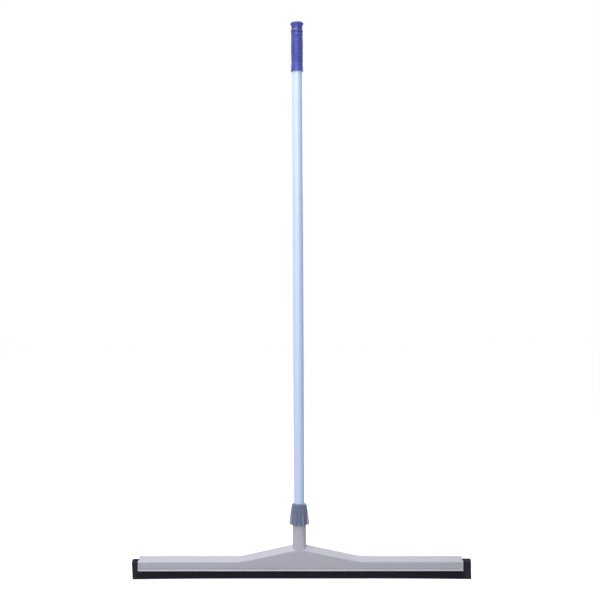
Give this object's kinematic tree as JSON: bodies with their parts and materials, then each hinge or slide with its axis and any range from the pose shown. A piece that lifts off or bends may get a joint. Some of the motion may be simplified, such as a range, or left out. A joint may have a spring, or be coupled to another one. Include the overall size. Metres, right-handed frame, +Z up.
{
  "type": "floor squeegee",
  "caption": "Floor squeegee: a wide twin foam-rubber blade in a gabled plastic head, with a tube pole and ribbed grip held in the head's socket by a winged screw collar.",
  "frame": {"origin": "on the floor under the middle of the blade", "axes": "+X along the blade, -Y towards the viewer of the front, +Z up along the pole"},
  "size_m": [0.75, 0.039, 1.2308],
  "materials": {
    "frame_plastic": "satin",
    "foam_rubber": "matte",
    "core_plastic": "satin",
    "screw_steel": "satin",
    "ring_plastic": "satin",
    "collar_plastic": "satin",
    "pole_aluminium": "satin",
    "plug_plastic": "satin",
    "grip_plastic": "satin"
  },
  "bodies": {
    "head": {"frame_shell": "frame_plastic", "blade_front": "foam_rubber", "blade_rear": "foam_rubber", "blade_core_bar": "core_plastic", "core_screws": "screw_steel"},
    "clamp": {"clamp_ring": "ring_plastic"},
    "collar": {"locking_collar": "collar_plastic"},
    "pole": {"pole_tube": "pole_aluminium", "pole_foot_plug": "plug_plastic", "grip_sleeve": "grip_plastic", "grip_end_cap": "grip_plastic"}
  },
  "joints": [
    {"name": "collar_lift", "type": "slide", "parent": "head", "child": "clamp", "axis": [0, 0, 1], "range_m": [0, 0.006]},
    {"name": "collar_turn", "type": "hinge", "parent": "clamp", "child": "collar", "pos_m": [0, 0, 0.14], "axis": [0, 0, 1], "range_deg": [0, 540]},
    {"name": "pole_pull", "type": "slide", "parent": "head", "child": "pole", "axis": [0, 0, 1], "range_m": [0, 0.115]}
  ],
  "couplings": [
    {"joint": "collar_lift", "follows": "collar_turn", "m_per_rad": 0.0006366}
  ]
}
